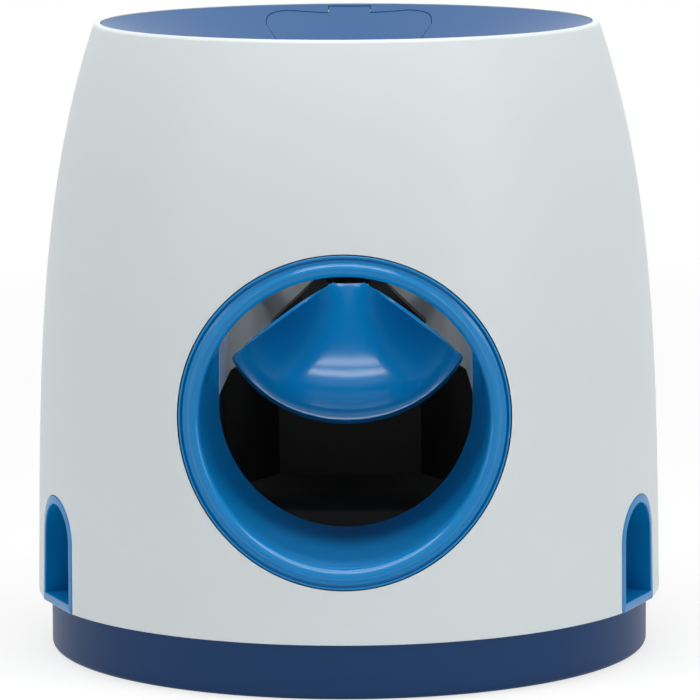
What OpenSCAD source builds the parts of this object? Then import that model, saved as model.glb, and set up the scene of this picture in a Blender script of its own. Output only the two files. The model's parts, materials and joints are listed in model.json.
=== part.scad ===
// Treat dispenser worked by a ball. A ball dropped into the top funnel tips a scoop and rolls out of
// the front port. The scoop's tilt turns a dosing drum, and treats slide to an outlet on each side.
// Millimetres. The front faces -Y, and the feet stand at z = 0.

/* [Casing] */
// Overall height of the dispenser
total_h = 175; // [172:0.5:180]
// Radius of the casing below its taper
shell_r = 87.5; // [86.5:0.25:90]
// Height at which the casing starts to taper
taper_z = 52; // [48:1:56]
// Radius of the taper's arc, seen from the side
taper_arc = 460; // [445:5:500]
// Wall of the casing and of the funnel
wall = 2.5; // [2.2:0.1:2.8]

/* [Base] */
// Height of the casing's lower edge above the ground
base_h = 16; // [15:0.5:18]
// Radius of the base
base_r = 84.25; // [83.5:0.25:84.5]
// Rounding of the base's lower edge
base_edge_r = 4; // [2:0.5:5]
// Thickness of the base's floor
base_floor_t = 4; // [3.5:0.5:5]
// Height of the lip that stands up inside the casing
base_lip_h = 4; // [3:0.5:6]
// Radius of a foot
foot_r = 7; // [5:0.5:9]
// How far a foot stands out of the base
foot_proud = 1; // [0.5:0.25:1.5]
// Distance of the feet from the middle
foot_ring_r = 62; // [58:1:66]
// Distance of the casing screws from the middle
boss_ring_r = 76; // [74:0.5:77]

/* [Ball port] */
// Height of the middle of the ball port
port_z = 75; // [73:0.5:78]
// Outer radius of the port's bezel
port_r = 44.3; // [43.5:0.1:46]
// Radius of the tunnel at its mouth
port_mouth_r = 40.5; // [39.5:0.1:41.5]
// Radius of the tunnel at its inner end
port_hole_r = 34; // [33:0.25:35]
// How far the bezel stands out of the casing
bezel_proud = 0.6; // [0.3:0.1:1]

/* [Ball way] */
// Half the width of the ball shaft inside
shaft_half = 36; // [35.5:0.25:37]
// Distance of the shaft's front wall from the middle
shaft_front = 46; // [45:0.5:48]
// Distance of the shaft's back wall from the middle
shaft_back = 36; // [35:0.25:36.5]
// Wall of the shaft and of the chamber
shaft_wall = 2; // [1.6:0.1:2]
// Height of the seam between the grey shaft and the black chamber
seam_z = 76; // [74:0.5:78]
// Height of the shaft's top
shaft_top = 118; // [116:0.5:121]
// Half the width of the chamber's flat back panel
bay_half = 20.7; // [18:0.1:23]
// Where the chamber's angled sides start
bay_y = 10; // [6:0.5:14]
// Slope of the chamber's floor
floor_slope = 3; // [2:0.5:4]

/* [Funnel and lid] */
// Radius of the ball throat
throat_r = 35; // [34:0.25:35.5]
// Slope of the dish
dish_slope = 20; // [18:0.5:22]
// Width of the lid
lid_w = 47.5; // [44:0.5:50]
// Distance of the lid's inner edge from the middle
lid_low_y = 41.5; // [41:0.25:43]
// Distance of the lid's outer edge from the middle
lid_top_y = 62; // [60:0.5:63]
// Rounding of the lid's corners
lid_corner = 8; // [5:0.5:10]
// Width of the lid's tongue
tongue_w = 12; // [8:0.5:16]
// Gap round the lid
lid_gap = 0.4; // [0.3:0.05:0.6]

/* [Paddle] */
// Distance of the paddle's axle behind the middle
axle_y = 25; // [24:0.5:26]
// Height of the paddle's axle
axle_z = 104; // [102:0.5:106]
// Radius of the scoop at its lip
lip_r = 36.4; // [35:0.2:37.5]
// Radius of the scoop at its narrow end
apex_r = 3.5; // [3:0.25:5]
// Length of the scoop along its own axis
scoop_len = 40; // [36:0.5:42]
// Half of the angle that the scoop spans
scoop_half_angle = 61.5; // [55:0.5:66]
// Thickness of the scoop
scoop_t = 2.2; // [1.8:0.1:2.6]
// How far the scoop's side bellies out
scoop_belly = 1.5; // [0.5:0.25:3]
// How far the paddle tips
paddle_travel = 30; // [20:1:30]
// Radius of both axles
axle_r = 2.5; // [2:0.1:2.8]

/* [Gears] */
// Size of the teeth (pitch diameter over tooth count)
gear_module = 1; // [0.95:0.05:1.05]
// Teeth on the drum's gear
drum_teeth = 15; // [14:1:16]
// Turns of the drum for one turn of the paddle
gear_ratio = 4; // [4:1:4]
// Width of the gears
gear_w = 4; // [3:0.5:5]

/* [Dosing drum and hopper] */
// Radius of the drum
drum_r = 13; // [12:0.25:13.5]
// Length of the drum
drum_len = 66; // [60:1:66]
// Distance of the drum's axle behind the middle
drum_y = 58; // [57:0.25:59]
// Radius of a dosing groove
groove_r = 8; // [6:0.25:9]
// Half the width of the hopper outside
hopper_half = 37; // [36.5:0.25:38]
// Outer radius of the hopper's back
hopper_r = 70; // [68:0.5:70.5]
// Wall of the hopper
hopper_wall = 2; // [1.6:0.1:2.2]
// Height of the hopper's roof
hopper_top = 158; // [154:0.5:158]

/* [Treat outlets] */
// Angle between the front and the middle of an outlet
outlet_angle = 67.3; // [64:0.1:70]
// Width of an outlet outside
outlet_w = 23.4; // [20:0.2:26]
// Height of the top of an outlet's arch
outlet_top = 46.5; // [42:0.5:50]
// Wall of an outlet
outlet_wall = 2.5; // [2:0.1:3]
// Depth of an outlet
outlet_depth = 21.5; // [18:0.5:22]
// Slope of the treat chutes
chute_slope = 24; // [21:0.5:25]
// Height of a chute's side walls
chute_side_h = 10; // [8:0.5:12]

/* [Hidden] */
$fn = 96;

// Colours
pale_grey = "#d3dadc";
port_blue = "#1678b4";
dish_blue = "#4a6ca2";
navy = "#2a4368";
black = "#161616";
milky = "#c9ccd0";
steel = "#b8bcc0";
rubber = "#26282b";

// Fits
fit_gap = 0.3;
run_gap = 0.05;
screw_gap = 0.1;
eps = 0.01;
past = 1;

// Screws
screw_r = 1.5;
head_r = 3;
head_h = 2;
head_hole_r = 3.4;
pilot_r = screw_r + screw_gap;
boss_r = 4;

// Casing
foot_h = foot_proud + 1.5;
floor_top = foot_proud + base_floor_t;
rim_r = shell_radius(total_h) - wall - fit_gap;
rim_z = total_h - 0.5;
ledge_drop = 12.5;
ledge_top = rim_z - ledge_drop;
ledge_t = 2.5;
ledge_reach = 0.7;
ledge_in_r = rim_r - wall - ledge_reach;
boss_angles = [30, 150, 235, 305];
boss_low = base_h + base_lip_h;
boss_h = 12;
foot_angles = [45, 135, 225, 315];

// Port
tunnel_wall = 2.5;
mouth_depth = 28;
bezel_depth = 20;
flange_w = 4.5;
flange_t = 2.5;

// Ball way
chamber_floor_z = port_z - port_hole_r - 1;
chamber_floor_t = 2.5;
collar_h = 4;
throat_low = shaft_top + fit_gap;
tab_w = 8;
tab_t = 3;
tab_len = 12;
tab_inset = 10;
tab_places = [tab_inset - shaft_front, 4];
tab_x = shaft_half + shaft_wall + tab_w / 2;
shaft_screw_h = 12;
foot_boss_places = [tab_inset - shaft_front, 0];
foot_boss_inset = 3;
foot_boss_x = shaft_half - foot_boss_inset;
foot_boss_h = 15;

// Funnel and lid
throat_bevel = 3;
dish_low_r = throat_r + throat_bevel;
dish_drop = wall / cos(dish_slope);
lid_shoulder = 9;
lid_mid_y = lid_low_y + lid_shoulder;
lid_taper = 6;
lid_low_w = lid_w - lid_taper;
lid_pin_r = 0.8;
knuckle_r = 1.4;
lid_axis_inset = 1.75;
lid_axis_y = rim_r - lid_axis_inset;
lid_axis_z = dish_z(lid_axis_y) - dish_drop / 2;
lid_pin_reach = 5;
lid_pin_len = tongue_w + 2 * lid_pin_reach;

// Paddle
scoop_drop = 2.1;
scoop_z = axle_z - scoop_drop;
scoop_ahead = 5;
scoop_back_y = axle_y - scoop_ahead;
scoop_steps = 10;
arm_half = 9.4;
arm_wide = 22;
arm_front_y = 12;
arm_back_y = 20;
hub_r = 6;
web_shoulder_drop = 1.4;
web_corner_drop = 13.4;
web_low_drop = 24;
bush_r = axle_r + 2;
bush_flange_r = bush_r + 1.5;
bush_flange_t = 1;
clip_t = 1;
clip_r = axle_r + 2;
gear_room = 4;
gear_x = hopper_half + gear_room;
axle_reach = 3;
axle_right = gear_x + gear_w + axle_reach;

// Gears
pressure_angle = 22;
tooth_rise = 0.85;
tooth_drop = 1.1;
tooth_backlash = 0.15;
flank_steps = 5;
sector_teeth = drum_teeth * gear_ratio;
drum_pitch_r = gear_module * drum_teeth / 2;
sector_pitch_r = gear_module * sector_teeth / 2;
centre_distance = drum_pitch_r + sector_pitch_r;
drum_z = axle_z - sqrt(pow(centre_distance, 2) - pow(drum_y - axle_y, 2));
mesh_angle = atan2(drum_z - axle_z, drum_y - axle_y);
sector_spare = 2;
sector_first = -ceil(paddle_travel * sector_teeth / 360) - sector_spare;
sector_last = sector_spare;
sector_hub_r = axle_r + 4;

// Spring
spring_wire_r = 0.6;
spring_coil_r = axle_r + 2.8;
spring_turns = 3.5;
spring_pitch = 1.7;
spring_leg = 12;
spring_turn_rings = 12;
spring_sides = 6;
spring_x = -shaft_half - shaft_wall - bush_flange_t - 1;
axle_left = spring_x - spring_pitch * spring_turns - spring_wire_r - fit_gap - clip_t;

// Drum and hopper
drum_gap = 0.5;
groove_len = 25;
groove_edge = 4;
groove_lift = 9;
hopper_room = 2;
hopper_front = shaft_back + shaft_wall + hopper_room;
hopper_floor_z = drum_z + drum_r + drum_gap;
slot_room = 2;
slot_half_x = groove_edge + groove_len + slot_room;
slot_half_y = 7;
hopper_floor_rise = 8;
collar_room = 3.5;
collar_half = lid_w / 2 + collar_room;
collar_r = rim_r - wall - past;
cheek_drop = 10;
cheek_low = drum_z - cheek_drop;
cheek_half_y = 9;
hopper_screw_x = 25;
hopper_screw_rise = 14;
hopper_screw_z = hopper_floor_z + hopper_screw_rise;
drum_axle_left = -hopper_half - axle_reach;

// Outlets and chutes
outlet_heading = outlet_angle - 90;
outlet_back_r = shell_r - outlet_depth;
outlet_axis = [cos(outlet_heading), sin(outlet_heading)];
outlet_across = [-outlet_axis[1], outlet_axis[0]];
chute_wall = 2;
chute_split = 1;
chute_r = 79.5;
chute_bends = [27, 51, 68];
pan_room = 1.5;
pan_front = hopper_front + past;
pan_side = shaft_half + shaft_wall + pan_room;
pan_middle = [20, drum_y + 4];
chute_foot_places = [[20, drum_y + 6], [52, 14]];
chute_drum_gap = 2;
chute_foot_r = 3;
chute_out = outlet_axis * outlet_back_r;
chute_up = pan_middle - chute_out;
chute_heading = atan2(chute_up[1], chute_up[0]);
chute_out_z = base_h + outlet_wall + 1;

// Outer radius of the casing at height z
function shell_radius(z) = z < taper_z ? shell_r
    : shell_r - taper_arc + sqrt(pow(taper_arc, 2) - pow(z - taper_z, 2));

// Height of the dish at radius r
function dish_z(r) = rim_z - (rim_r - r) * tan(dish_slope);

function polar(r, angle) = [r * cos(angle), r * sin(angle)];

function unit(v) = v / norm(v);

// Half section of the casing's outer form, drawn in by inset
module casing_half(inset, low, high) {
    intersection() {
        translate([0, low]) square([shell_r + past, high - low]);
        union() {
            square([shell_r - inset, taper_z]);
            translate([shell_r - taper_arc, taper_z]) circle(r = taper_arc - inset, $fn = 720);
        }
    }
}

module casing_solid(inset) {
    rotate_extrude() casing_half(inset, base_h, total_h);
}

// Turns a child so that its z axis runs out of the ball port
module along_port() {
    translate([0, 0, port_z]) rotate([90, 0, 0]) children();
}

// Sweeps a (y, z) outline along X, middled on x
module across(width, x = 0) {
    translate([x - width / 2, 0, 0]) rotate([90, 0, 90]) linear_extrude(width) children();
}

// A rod along X between two places
module rod(r, from_x, to_x, y, z) {
    translate([from_x, y, z]) rotate([0, 90, 0]) cylinder(r = r, h = to_x - from_x);
}

// Washer-shaped piece along X
module washer_x(r, hole_r, from_x, to_x, y, z) {
    difference() {
        rod(r, from_x, to_x, y, z);
        rod(hole_r, from_x - past, to_x + past, y, z);
    }
}

// Screw with its head's top at z = 0, pointing up
module screw(shank_h) {
    cylinder(r = head_r, h = head_h);
    cylinder(r = screw_r, h = head_h + shank_h);
}

// Upright arch, drawn in (y, z)
module arch(half, low, top) {
    translate([-half, low]) square([2 * half, top - half - low]);
    translate([0, top - half]) circle(r = half);
}

module outlet_prism(grow, from_r, to_r) {
    rotate([0, 0, outlet_heading]) translate([from_r, 0, 0]) rotate([90, 0, 90])
        linear_extrude(to_r - from_r) arch(outlet_w / 2 + grow, base_h - grow, outlet_top + grow);
}

module both_sides() {
    children();
    mirror([1, 0, 0]) children();
}

module casing_boss(angle) {
    rotate([0, 0, angle]) {
        translate([boss_ring_r, 0, boss_low]) cylinder(r = boss_r, h = boss_h);
        translate([boss_ring_r, -wall / 2, boss_low]) cube([shell_r - wall / 2 - boss_ring_r, wall, boss_h]);
    }
}

module body_shell() {
    color(pale_grey) difference() {
        union() {
            rotate_extrude() difference() {
                casing_half(0, base_h, total_h);
                casing_half(wall, base_h - past, total_h + past);
            }
            // Ledge that carries the funnel, left out behind, where the hopper stands
            difference() {
                rotate_extrude() translate([ledge_in_r, ledge_top - ledge_t])
                    square([shell_radius(ledge_top) - wall / 2 - ledge_in_r, ledge_t]);
                translate([-hopper_half - past, 0, ledge_top - ledge_t - past])
                    cube([2 * (hopper_half + past), shell_r, ledge_t + 2 * past]);
            }
            for (angle = boss_angles) casing_boss(angle);
        }
        along_port() cylinder(r = port_r + fit_gap, h = shell_r + past);
        both_sides() outlet_prism(screw_gap, outlet_back_r, shell_r + past);
        for (angle = boss_angles) rotate([0, 0, angle])
            translate([boss_ring_r, 0, base_h - past])
                cylinder(r = pilot_r, h = boss_low + boss_h - base_h);
    }
}

// Band of the dish in half section, from its upper face down by drop
module dish_half(drop) {
    polygon([
        [rim_r, rim_z], [dish_low_r, dish_z(dish_low_r)],
        [dish_low_r, dish_z(dish_low_r) - drop], [rim_r, rim_z - drop]
    ]);
}

module lid_outline(grow) {
    low_half = lid_low_w / 2 + grow;
    half = lid_w / 2 + grow;
    corner_x = lid_w / 2 - lid_corner;
    corner_y = lid_top_y - lid_corner;
    polygon([
        [-low_half, lid_low_y - grow], [low_half, lid_low_y - grow], [half, lid_mid_y],
        [half, corner_y], [-half, corner_y], [-half, lid_mid_y]
    ]);
    for (side = [-1, 1]) translate([side * corner_x, corner_y]) circle(r = lid_corner + grow);
    translate([-corner_x, corner_y]) square([2 * corner_x, lid_corner + grow]);
    translate([-tongue_w / 2 - grow, corner_y]) square([tongue_w + 2 * grow, lid_axis_y - corner_y]);
}

module lid_band(grow, drop) {
    intersection() {
        rotate_extrude() dish_half(drop);
        linear_extrude(total_h) lid_outline(grow);
    }
}

module lid_knuckle(grow) {
    rod(knuckle_r + grow, -tongue_w / 2 - grow, tongue_w / 2 + grow, lid_axis_y, lid_axis_z);
}

module top_funnel() {
    throat_out_r = throat_r + wall;
    bevel_z = dish_z(dish_low_r) - throat_bevel - past;
    skirt_in_r = rim_r - wall;
    color(dish_blue) difference() {
        rotate_extrude() polygon([
            [rim_r, rim_z], [dish_low_r, dish_z(dish_low_r)], [throat_r, bevel_z], [throat_r, throat_low],
            [throat_out_r, throat_low], [throat_out_r, bevel_z - dish_drop],
            [dish_low_r + past, dish_z(dish_low_r + past) - dish_drop],
            [skirt_in_r, dish_z(skirt_in_r) - dish_drop], [skirt_in_r, ledge_top], [rim_r, ledge_top]
        ]);
        // Opening under the lid, and the slot for its tongue
        lid_band(lid_gap, dish_drop + lid_gap);
        lid_knuckle(lid_gap);
        translate([-tongue_w / 2 - lid_gap, lid_axis_y, lid_axis_z])
            cube([tongue_w + 2 * lid_gap, 2 * wall, total_h]);
        rod(lid_pin_r, -lid_pin_len / 2, lid_pin_len / 2, lid_axis_y, lid_axis_z);
    }
}

module hopper_lid() {
    color(dish_blue) difference() {
        union() {
            lid_band(0, dish_drop);
            lid_knuckle(0);
        }
        rod(lid_pin_r + run_gap, -tongue_w, tongue_w, lid_axis_y, lid_axis_z);
    }
}

module lid_pin() {
    color(steel) rod(lid_pin_r, -lid_pin_len / 2, lid_pin_len / 2, lid_axis_y, lid_axis_z);
}

module port_ring() {
    bezel_back = shell_r - bezel_depth;
    mouth_at = shaft_front + mouth_depth;
    socket_r = port_hole_r + tunnel_wall;
    tube_r = port_hole_r + (port_mouth_r - port_hole_r) * (bezel_back - shaft_front) / mouth_depth;
    front = shell_r + 2 * past;
    color(port_blue) {
        intersection() {
            casing_solid(-bezel_proud);
            along_port() rotate_extrude() polygon([
                [port_hole_r, shaft_front], [socket_r, shaft_front],
                [socket_r, shaft_front + shaft_wall + past], [tube_r + tunnel_wall, bezel_back],
                [port_r, bezel_back], [port_r, front],
                [port_mouth_r, front], [port_mouth_r, mouth_at]
            ]);
        }
        // Flange behind the casing's wall
        intersection() {
            difference() {
                casing_solid(wall + screw_gap);
                casing_solid(wall + screw_gap + flange_t);
            }
            along_port() difference() {
                cylinder(r = port_r + flange_w, h = front);
                cylinder(r = port_r - past, h = front);
            }
        }
    }
}

// Plan of the chamber: straight sides, then angled sides up to a flat back panel
module bay_plan(grow) {
    half = shaft_half + grow;
    panel = bay_half + grow / 2;
    polygon([
        [-half, -shaft_front - grow], [half, -shaft_front - grow], [half, bay_y + grow / 2],
        [panel, shaft_back + grow], [-panel, shaft_back + grow], [-half, bay_y + grow / 2]
    ]);
}

module shaft_plan(grow) {
    translate([-shaft_half - grow, -shaft_front - grow])
        square([2 * (shaft_half + grow), shaft_front + shaft_back + 2 * grow]);
}

module shaft_tab(y, low) {
    translate([shaft_half, y - tab_len / 2, low]) cube([shaft_wall + tab_w, tab_len, tab_t]);
}

module tunnel_socket() {
    along_port() translate([0, 0, shaft_front - past])
        cylinder(r = port_hole_r + tunnel_wall + screw_gap, h = shaft_wall + 2 * past);
}

module ball_shaft() {
    plate_low = shaft_top - shaft_wall;
    collar_in_r = throat_r + wall + fit_gap / 2;
    color(pale_grey) difference() {
        union() {
            translate([0, 0, seam_z]) linear_extrude(shaft_top - seam_z) shaft_plan(shaft_wall);
            translate([0, 0, plate_low]) cylinder(r = collar_in_r + shaft_wall, h = shaft_wall + collar_h);
            both_sides() for (y = tab_places) shaft_tab(y, seam_z);
            for (side = [-1, 1]) translate([side * hopper_screw_x, shaft_back + shaft_wall, hopper_screw_z])
                rotate([-90, 0, 0]) cylinder(r = boss_r, h = hopper_front - shaft_back - shaft_wall);
        }
        translate([0, 0, seam_z - past]) linear_extrude(plate_low - seam_z + past) shaft_plan(0);
        translate([0, 0, seam_z]) cylinder(r = throat_r, h = shaft_top);
        translate([0, 0, shaft_top]) cylinder(r = collar_in_r, h = shaft_top);
        tunnel_socket();
        rod(bush_r, -shaft_half - 2 * shaft_wall, shaft_half + 2 * shaft_wall, axle_y, axle_z);
        both_sides() for (y = tab_places)
            translate([tab_x, y, seam_z - past]) cylinder(r = pilot_r, h = tab_t + 2 * past);
        for (side = [-1, 1]) translate([side * hopper_screw_x, shaft_back - past, hopper_screw_z])
            rotate([-90, 0, 0]) cylinder(r = pilot_r, h = shaft_back);
    }
}

module ball_chamber() {
    depth = shaft_front + shaft_back;
    floor_back_z = chamber_floor_z + depth * tan(floor_slope);
    color(black) difference() {
        union() {
            difference() {
                union() {
                    translate([0, 0, floor_top]) linear_extrude(seam_z - floor_top) bay_plan(shaft_wall);
                    translate([0, 0, seam_z - shaft_wall]) linear_extrude(shaft_wall) shaft_plan(shaft_wall);
                }
                translate([0, 0, floor_top - past]) linear_extrude(seam_z) bay_plan(0);
            }
            intersection() {
                linear_extrude(seam_z) bay_plan(eps);
                across(3 * shaft_half) polygon([
                    [-shaft_front - past, chamber_floor_z], [shaft_back + past, floor_back_z],
                    [shaft_back + past, floor_back_z - chamber_floor_t],
                    [-shaft_front - past, chamber_floor_z - chamber_floor_t]
                ]);
            }
            both_sides() {
                for (y = tab_places) {
                    shaft_tab(y, seam_z - tab_t);
                    translate([tab_x, y, seam_z - shaft_screw_h])
                        cylinder(r = boss_r - past / 2, h = shaft_screw_h);
                }
                for (y = foot_boss_places)
                    translate([foot_boss_x, y, floor_top]) cylinder(r = boss_r, h = foot_boss_h);
            }
        }
        tunnel_socket();
        both_sides() {
            for (y = tab_places)
                translate([tab_x, y, seam_z - shaft_screw_h - past]) cylinder(r = pilot_r, h = seam_z);
            for (y = foot_boss_places)
                translate([foot_boss_x, y, floor_top - past]) cylinder(r = pilot_r, h = foot_boss_h);
        }
    }
}

// Point of the scoop's side in (radius, distance forward), t from 0 at the narrow end to 1 at the lip
function scoop_way() = unit([lip_r - apex_r, scoop_len]);
function scoop_out() = [scoop_way()[1], -scoop_way()[0]];
function scoop_point(t, out) = [apex_r, 0] + t * [lip_r - apex_r, scoop_len]
    + (4 * scoop_belly * t * (1 - t) + out) * scoop_out();

function scoop_face(out) = [for (i = [0 : scoop_steps]) scoop_point(i / scoop_steps, out)];

function reversed(list) = [for (i = [len(list) - 1 : -1 : 0]) list[i]];

// Turns a child so that its z axis runs forward along the scoop's axis
module along_scoop() {
    translate([0, scoop_back_y, scoop_z]) rotate([90, 0, 0]) children();
}

module ball_paddle() {
    color(port_blue) along_scoop() rotate([0, 0, 270 - scoop_half_angle])
        rotate_extrude(angle = 2 * scoop_half_angle)
            polygon(concat(scoop_face(0), reversed(scoop_face(scoop_t))));
}

module paddle_arm() {
    web_top = axle_z + hub_r / 2;
    web_shoulder = scoop_z - web_shoulder_drop;
    web_corner = scoop_z - web_corner_drop;
    web_low = axle_z - web_low_drop;
    color(black) difference() {
        union() {
            rod(hub_r, -arm_half, arm_half, axle_y, axle_z);
            translate([0, arm_back_y, 0]) rotate([90, 0, 0])
                linear_extrude(arm_back_y - arm_front_y) polygon([
                    [-arm_half, web_top], [-arm_half, web_shoulder], [-arm_wide, web_corner],
                    [-arm_half, web_low], [arm_half, web_low], [arm_wide, web_corner],
                    [arm_half, web_shoulder], [arm_half, web_top]
                ]);
        }
        along_scoop() rotate_extrude() polygon(concat(
            [[0, scoop_len], [0, -hub_r], [scoop_point(0, scoop_t)[0], -hub_r]], scoop_face(scoop_t)
        ));
        rod(axle_r, -arm_half - past, arm_half + past, axle_y, axle_z);
    }
}

module paddle_axle() {
    color(steel) rod(axle_r, axle_left, axle_right, axle_y, axle_z);
}

module wall_bush(side, inner_x, wall_t, y, z) {
    outer_x = inner_x + wall_t;
    mirror([side < 0 ? 1 : 0, 0, 0]) difference() {
        union() {
            rod(bush_r, inner_x, outer_x, y, z);
            rod(bush_flange_r, outer_x, outer_x + bush_flange_t, y, z);
        }
        rod(axle_r + run_gap, inner_x - past, outer_x + 2 * past, y, z);
    }
}

module axle_bushes() {
    color(milky) for (side = [-1, 1]) wall_bush(side, shaft_half, shaft_wall, axle_y, axle_z);
}

module axle_clips() {
    color(steel) {
        washer_x(clip_r, axle_r, axle_right - clip_t, axle_right, axle_y, axle_z);
        washer_x(clip_r, axle_r, axle_left, axle_left + clip_t, axle_y, axle_z);
    }
}

// Wire path of the torsion spring: a leg that lies on the shaft's back, the coil, and a leg into the axle
function spring_path() = concat(
    [[spring_x, spring_leg, -spring_coil_r]],
    [for (i = [0 : spring_turns * spring_turn_rings])
        let (angle = -90 - 360 * i / spring_turn_rings)
        concat(spring_x - spring_pitch * i / spring_turn_rings, polar(spring_coil_r, angle))],
    [[spring_x - spring_pitch * spring_turns, 0, axle_r + 2 * run_gap]]
);

// Ring of wire points round point i of a path whose coil turns about X
function wire_ring(path, i) = let (
    before = path[max(i - 1, 0)],
    after = path[min(i + 1, len(path) - 1)],
    way = unit(after - before),
    side = unit(cross(way, [1, 0, 0])),
    up = cross(side, way)
) [for (k = [0 : spring_sides - 1])
    path[i] + spring_wire_r * (cos(360 * k / spring_sides) * side + sin(360 * k / spring_sides) * up)];

module wire(path) {
    count = len(path);
    points = [for (i = [0 : count - 1]) each wire_ring(path, i)];
    sides = [for (i = [0 : count - 2]) for (k = [0 : spring_sides - 1])
        let (a = i * spring_sides + k, b = i * spring_sides + (k + 1) % spring_sides)
        each [[a, a + spring_sides, b], [b, a + spring_sides, b + spring_sides]]];
    first_cap = [for (k = [1 : spring_sides - 2]) [0, k, k + 1]];
    last = (count - 1) * spring_sides;
    last_cap = [for (k = [1 : spring_sides - 2]) [last, last + k + 1, last + k]];
    polyhedron(points, concat(sides, first_cap, last_cap));
}

module return_spring() {
    color(steel) translate([0, axle_y, axle_z]) wire(spring_path());
}

// Involute angle, in degrees, at radius r over a base circle
function involute(base_r, r) = let (a = acos(base_r / r)) tan(a) * 180 / PI - a;

// Half the angle of a tooth at radius r
function tooth_half(teeth, pitch_r, r) = let (base = pitch_r * cos(pressure_angle))
    90 / teeth - tooth_backlash / 2 / pitch_r * 180 / PI
    + involute(base, pitch_r) - involute(base, max(r, base));

module gear_tooth(teeth) {
    pitch_r = gear_module * teeth / 2;
    root_r = pitch_r - tooth_drop * gear_module;
    tip_r = pitch_r + tooth_rise * gear_module;
    low_r = max(root_r, pitch_r * cos(pressure_angle));
    radii = concat([root_r - gear_module / 2],
        [for (i = [0 : flank_steps]) low_r + (tip_r - low_r) * i / flank_steps]);
    polygon(concat(
        [for (r = radii) polar(r, -tooth_half(teeth, pitch_r, r))],
        [for (r = reversed(radii)) polar(r, tooth_half(teeth, pitch_r, r))]
    ));
}

// Outline of a gear made a plate, its axle along X
module gear_plate(y, z) {
    translate([gear_x, y, z]) rotate([90, 0, 90]) linear_extrude(gear_w) children();
}

module sector_gear() {
    step = 360 / sector_teeth;
    root_r = sector_pitch_r - tooth_drop * gear_module;
    low = mesh_angle + (sector_first - 0.5) * step;
    high = mesh_angle + (sector_last + 0.5) * step;
    middle = (low + high) / 2;
    reach = root_r / cos((high - low) / 2);
    far_reach = reach / cos((high - low) / 2);
    color(milky) gear_plate(axle_y, axle_z) difference() {
        union() {
            circle(r = sector_hub_r);
            intersection() {
                circle(r = root_r);
                polygon([[0, 0], polar(reach, low), polar(far_reach, middle), polar(reach, high)]);
            }
            for (k = [sector_first : sector_last]) rotate(mesh_angle + k * step) gear_tooth(sector_teeth);
        }
        circle(r = axle_r);
    }
}

module drum_gear() {
    step = 360 / drum_teeth;
    color(milky) gear_plate(drum_y, drum_z) difference() {
        union() {
            circle(r = drum_pitch_r - tooth_drop * gear_module);
            for (k = [0 : drum_teeth - 1])
                rotate(mesh_angle + 180 + (k + 0.5) * step) gear_tooth(drum_teeth);
        }
        circle(r = axle_r);
    }
}

module dosing_drum() {
    color(port_blue) difference() {
        rod(drum_r, -drum_len / 2, drum_len / 2, drum_y, drum_z);
        both_sides() rod(groove_r, groove_edge, groove_edge + groove_len, drum_y, drum_z + groove_lift);
        rod(axle_r, -drum_len, drum_len, drum_y, drum_z);
    }
}

module drum_axle() {
    color(steel) rod(axle_r, drum_axle_left, axle_right, drum_y, drum_z);
}

module drum_bushes() {
    color(milky) for (side = [-1, 1])
        wall_bush(side, hopper_half - hopper_wall, hopper_wall, drum_y, drum_z);
}

module drum_clips() {
    color(steel) {
        washer_x(clip_r, axle_r, axle_right - clip_t, axle_right, drum_y, drum_z);
        washer_x(clip_r, axle_r, drum_axle_left, drum_axle_left + clip_t, drum_y, drum_z);
    }
}

// Plan of the hopper: flat in front and at the sides, round behind
module hopper_plan(half, front, r) {
    intersection() {
        translate([-half, front]) square([2 * half, r]);
        circle(r = r);
    }
}

module hopper_tube(half, r, low, high) {
    difference() {
        translate([0, 0, low]) linear_extrude(high - low) hopper_plan(half, hopper_front, r);
        translate([0, 0, low - past]) linear_extrude(high - low + 2 * past)
            hopper_plan(half - hopper_wall, hopper_front + hopper_wall, r - hopper_wall);
    }
}

module treat_hopper() {
    floor_high = hopper_floor_z + hopper_wall;
    front_in = hopper_front + hopper_wall;
    cheek_x = hopper_half - hopper_wall / 2;
    color(milky) difference() {
        union() {
            hopper_tube(hopper_half, hopper_r, hopper_floor_z, hopper_top);
            hopper_tube(collar_half, collar_r, hopper_top - eps, total_h);
            // Roof round the filling collar
            translate([0, 0, hopper_top - hopper_wall]) linear_extrude(hopper_wall) difference() {
                hopper_plan(hopper_half, hopper_front, hopper_r);
                hopper_plan(collar_half - hopper_wall, front_in, collar_r - hopper_wall);
            }
            // Floor that slopes to the slot over the drum
            intersection() {
                translate([0, 0, hopper_floor_z]) linear_extrude(total_h)
                    hopper_plan(hopper_half - eps, hopper_front + eps, hopper_r - eps);
                across(2 * hopper_half) {
                    polygon([
                        [hopper_front, hopper_floor_z], [drum_y - slot_half_y, hopper_floor_z],
                        [drum_y - slot_half_y, floor_high], [front_in, floor_high + hopper_floor_rise],
                        [hopper_front, floor_high + hopper_floor_rise]
                    ]);
                    polygon([
                        [drum_y + slot_half_y, hopper_floor_z], [hopper_r, hopper_floor_z],
                        [hopper_r, floor_high + hopper_floor_rise / 2], [drum_y + slot_half_y, floor_high]
                    ]);
                }
            }
            both_sides() {
                across(hopper_half - slot_half_x, (hopper_half + slot_half_x) / 2)
                    translate([drum_y - slot_half_y, hopper_floor_z]) square([2 * slot_half_y, hopper_wall]);
                across(hopper_wall, cheek_x) translate([drum_y - cheek_half_y, cheek_low])
                    square([2 * cheek_half_y, floor_high - cheek_low]);
            }
        }
        // Collar's top, cut to the underside of the dish
        rotate_extrude() polygon([
            [0, dish_z(0) - dish_drop - lid_gap], [rim_r + past, dish_z(rim_r + past) - dish_drop - lid_gap],
            [rim_r + past, total_h + past], [0, total_h + past]
        ]);
        rod(bush_r, -hopper_half - past, hopper_half + past, drum_y, drum_z);
        for (side = [-1, 1]) translate([side * hopper_screw_x, shaft_back, hopper_screw_z])
            rotate([-90, 0, 0]) cylinder(r = pilot_r, h = hopper_front + hopper_wall + past - shaft_back);
    }
}

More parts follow.
